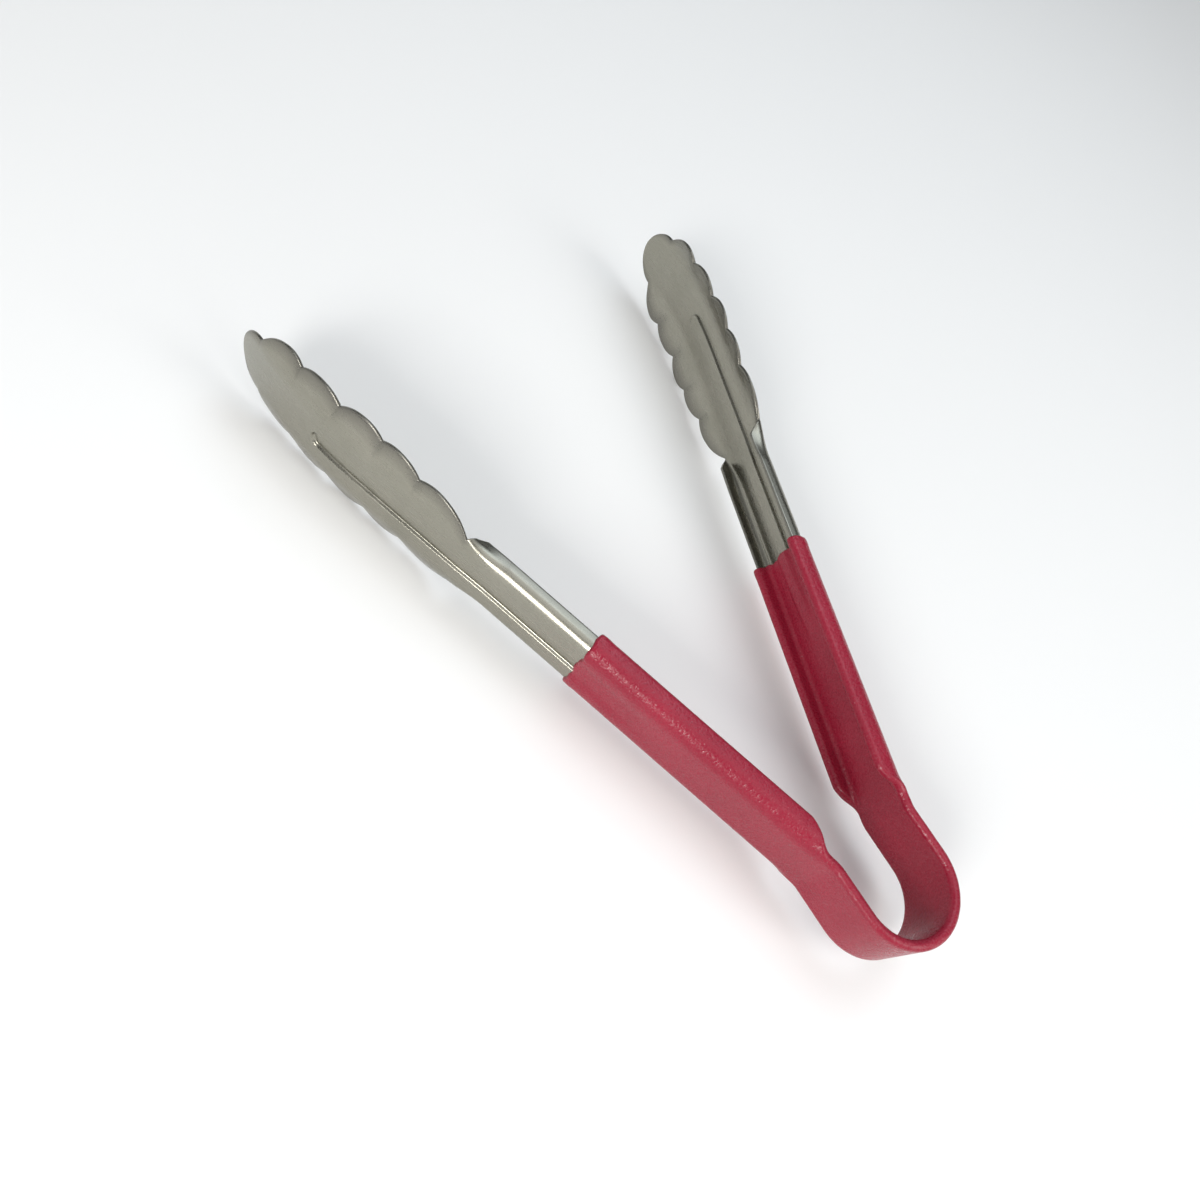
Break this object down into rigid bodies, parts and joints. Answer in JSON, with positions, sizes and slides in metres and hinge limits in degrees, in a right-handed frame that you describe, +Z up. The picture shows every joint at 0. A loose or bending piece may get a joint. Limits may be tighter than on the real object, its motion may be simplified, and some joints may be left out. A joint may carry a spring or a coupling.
{
  "type": "spring loaded kitchen tongs",
  "caption": "Sprung kitchen tongs: a U-shaped spring bow holds channel-section arms open, each arm ending in a scalloped jaw, with a soft vinyl-dipped grip.",
  "frame": {"origin": "under the middle of the bounding box, on the surface the tongs lie on, on their side", "axes": "+Y from the bow towards the jaw tips, +X across the opening, towards the right arm, +Z up, along the strip's width"},
  "size_m": [0.149, 0.2308, 0.0374],
  "materials": {
    "steel": "satin",
    "vinyl": "satin, finely pebbled"
  },
  "bodies": {
    "bow_crown": {"spring_crown": "steel", "vinyl_crown": "vinyl"},
    "right_link_1": {"right_spring_link_1": "steel", "right_vinyl_link_1": "vinyl"},
    "right_link_2": {"right_spring_link_2": "steel", "right_vinyl_link_2": "vinyl"},
    "right_link_3": {"right_spring_link_3": "steel", "right_vinyl_link_3": "vinyl"},
    "right_arm": {"right_arm_channel": "steel", "right_grip": "vinyl", "right_jaw": "steel"},
    "left_link_1": {"left_spring_link_1": "steel", "left_vinyl_link_1": "vinyl"},
    "left_link_2": {"left_spring_link_2": "steel", "left_vinyl_link_2": "vinyl"},
    "left_link_3": {"left_spring_link_3": "steel", "left_vinyl_link_3": "vinyl"},
    "left_arm": {"left_arm_channel": "steel", "left_grip": "vinyl", "left_jaw": "steel"}
  },
  "joints": [
    {"name": "right_flex_1", "type": "hinge", "parent": "bow_crown", "child": "right_link_1", "pos_m": [0.00509, -0.113, 0.01869], "axis": [0, 0, 1], "range_deg": [-1, 4.71], "stiffness_Nm_per_rad": 20},
    {"name": "right_flex_2", "type": "hinge", "parent": "right_link_1", "child": "right_link_2", "pos_m": [0.01299, -0.10657, 0.01869], "axis": [0, 0, 1], "range_deg": [-1, 4.71], "stiffness_Nm_per_rad": 20},
    {"name": "right_flex_3", "type": "hinge", "parent": "right_link_2", "child": "right_link_3", "pos_m": [0.01522, -0.09659, 0.01869], "axis": [0, 0, 1], "range_deg": [-1, 4.71], "stiffness_Nm_per_rad": 20},
    {"name": "squeeze", "type": "hinge", "parent": "right_link_3", "child": "right_arm", "pos_m": [0.01531, -0.08621, 0.01869], "axis": [0, 0, 1], "range_deg": [-1, 4.71], "stiffness_Nm_per_rad": 20},
    {"name": "left_flex_1", "type": "hinge", "parent": "bow_crown", "child": "left_link_1", "pos_m": [-0.00509, -0.113, 0.01869], "axis": [0, 0, -1], "range_deg": [-1, 4.71], "stiffness_Nm_per_rad": 20},
    {"name": "left_flex_2", "type": "hinge", "parent": "left_link_1", "child": "left_link_2", "pos_m": [-0.01299, -0.10657, 0.01869], "axis": [0, 0, -1], "range_deg": [-1, 4.71], "stiffness_Nm_per_rad": 20},
    {"name": "left_flex_3", "type": "hinge", "parent": "left_link_2", "child": "left_link_3", "pos_m": [-0.01522, -0.09659, 0.01869], "axis": [0, 0, -1], "range_deg": [-1, 4.71], "stiffness_Nm_per_rad": 20},
    {"name": "left_flex_4", "type": "hinge", "parent": "left_link_3", "child": "left_arm", "pos_m": [-0.01531, -0.08621, 0.01869], "axis": [0, 0, -1], "range_deg": [-1, 4.71], "stiffness_Nm_per_rad": 20}
  ],
  "couplings": [
    {"joint": "right_flex_1", "follows": "squeeze", "ratio": 1},
    {"joint": "right_flex_2", "follows": "squeeze", "ratio": 1},
    {"joint": "right_flex_3", "follows": "squeeze", "ratio": 1},
    {"joint": "left_flex_1", "follows": "squeeze", "ratio": 1},
    {"joint": "left_flex_2", "follows": "squeeze", "ratio": 1},
    {"joint": "left_flex_3", "follows": "squeeze", "ratio": 1},
    {"joint": "left_flex_4", "follows": "squeeze", "ratio": 1}
  ]
}
